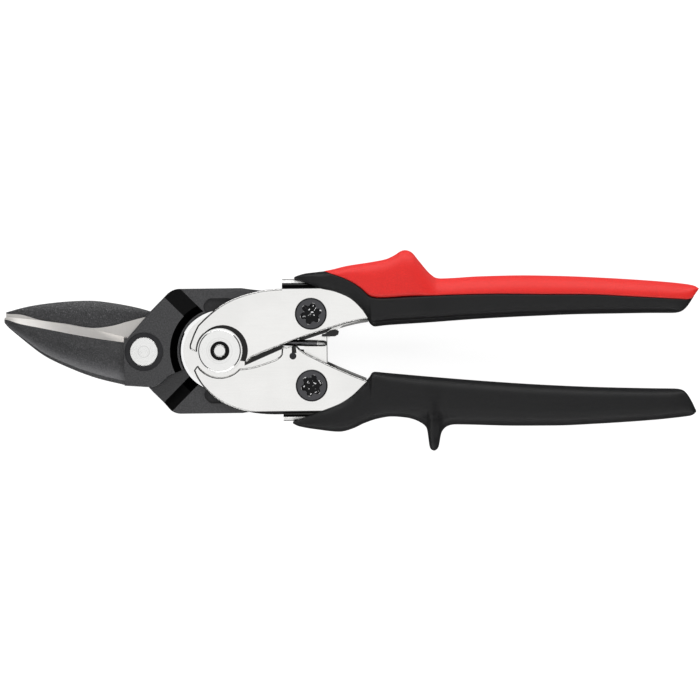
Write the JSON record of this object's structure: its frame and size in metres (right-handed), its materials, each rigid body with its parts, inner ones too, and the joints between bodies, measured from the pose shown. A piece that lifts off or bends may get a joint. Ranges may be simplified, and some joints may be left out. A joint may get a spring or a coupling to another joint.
{
  "type": "compound leverage aviation snips",
  "caption": "Hand snips for sheet metal: two curved forged blades on a pivot, compound sheet-steel levers, moulded grips and a slide latch.",
  "frame": {"origin": "on the jaw pivot's axis, in the plane of the surface that the tool lies on, at the flat end of the jaw pivot's nut", "axes": "+X along the tool from the jaw pivot to the handles, +Y across it towards the upper handle, +Z out of the face with the bolt heads"},
  "size_m": [0.2602, 0.0756, 0.02],
  "materials": {
    "forged_black": "black oxide on drop-forged steel, fine grain, edges ground bright",
    "bright_steel": "turned and polished steel",
    "nickel_sheet": "bright nickel-plated sheet steel",
    "black_oxide": "satin black oxide",
    "spring_steel": "dark drawn spring wire",
    "black_plastic": "moulded black plastic",
    "black_grip": "soft black grip, fine matte grain",
    "red_grip": "soft red overmould, fine matte grain"
  },
  "bodies": {
    "lower_handle": {"lower_lever": "nickel_sheet", "lower_grip": "black_grip", "handle_pivot_bolt": "bright_steel", "handle_pivot_front_bush": "bright_steel", "handle_pivot_rear_bush": "bright_steel", "handle_pivot_sleeve": "bright_steel", "handle_pivot_nut": "black_oxide", "opening_spring": "spring_steel", "lower_tail_bolt": "black_oxide", "lower_tail_nut": "black_oxide", "latch_catch_pin": "black_oxide"},
    "upper_handle": {"upper_lever": "nickel_sheet", "upper_grip_core": "black_grip", "upper_grip_overmould": "red_grip", "upper_tail_bolt": "black_oxide", "upper_tail_nut": "black_oxide", "latch_guide_pins": "bright_steel"},
    "rear_jaw": {"rear_jaw": "forged_black", "jaw_pivot_bolt": "bright_steel", "jaw_pivot_washer": "black_oxide", "jaw_pivot_nut": "black_oxide", "lower_tail_bush": "bright_steel"},
    "front_jaw": {"front_jaw": "forged_black", "upper_tail_bush": "bright_steel"},
    "latch": {"latch_hook": "nickel_sheet", "latch_tab": "black_plastic"}
  },
  "joints": [
    {"name": "handle_opening", "type": "hinge", "parent": "lower_handle", "child": "upper_handle", "pos_m": [0.0283, 0, 0.01], "axis": [0, 0, 1], "range_deg": [0, 28]},
    {"name": "rear_jaw_swing", "type": "hinge", "parent": "lower_handle", "child": "rear_jaw", "pos_m": [0.0625, -0.0134, 0.01], "axis": [0, 0, 1], "range_deg": [0, 6.7]},
    {"name": "jaw_opening", "type": "hinge", "parent": "rear_jaw", "child": "front_jaw", "pos_m": [0, 0, 0.01], "axis": [0, 0, 1], "range_deg": [0, 14.9]},
    {"name": "latch_slide", "type": "slide", "parent": "upper_handle", "child": "latch", "axis": [-1, 0, 0], "range_m": [0, 0.0024]}
  ],
  "couplings": [
    {"joint": "rear_jaw_swing", "follows": "handle_opening", "ratio": 0.2355},
    {"joint": "jaw_opening", "follows": "handle_opening", "ratio": 0.5285}
  ]
}
